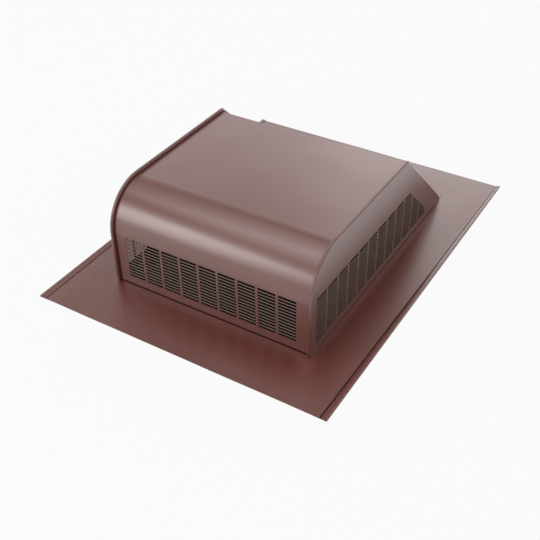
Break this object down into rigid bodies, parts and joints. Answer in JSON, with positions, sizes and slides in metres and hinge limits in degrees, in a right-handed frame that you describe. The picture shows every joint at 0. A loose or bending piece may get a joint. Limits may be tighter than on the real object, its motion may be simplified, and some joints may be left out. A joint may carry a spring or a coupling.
{
  "type": "roof vent",
  "caption": "Slant-back roof vent of painted sheet metal with louvred front and sides, lock seams and a round throat.",
  "frame": {"origin": "middle of the flange's underside, on the axis of the throat", "axes": "+Y up the roof towards the slanted back, +Z away from the roof, +X to the right seen from the louvred front"},
  "size_m": [0.368, 0.476, 0.1202],
  "materials": {
    "flange": "satin",
    "hood": "satin",
    "side_panel": "satin"
  },
  "bodies": {
    "root": {"base_flange": "flange", "hood_wrapper": "hood", "side_panel_left": "side_panel", "side_panel_right": "side_panel"}
  },
  "joints": []
}
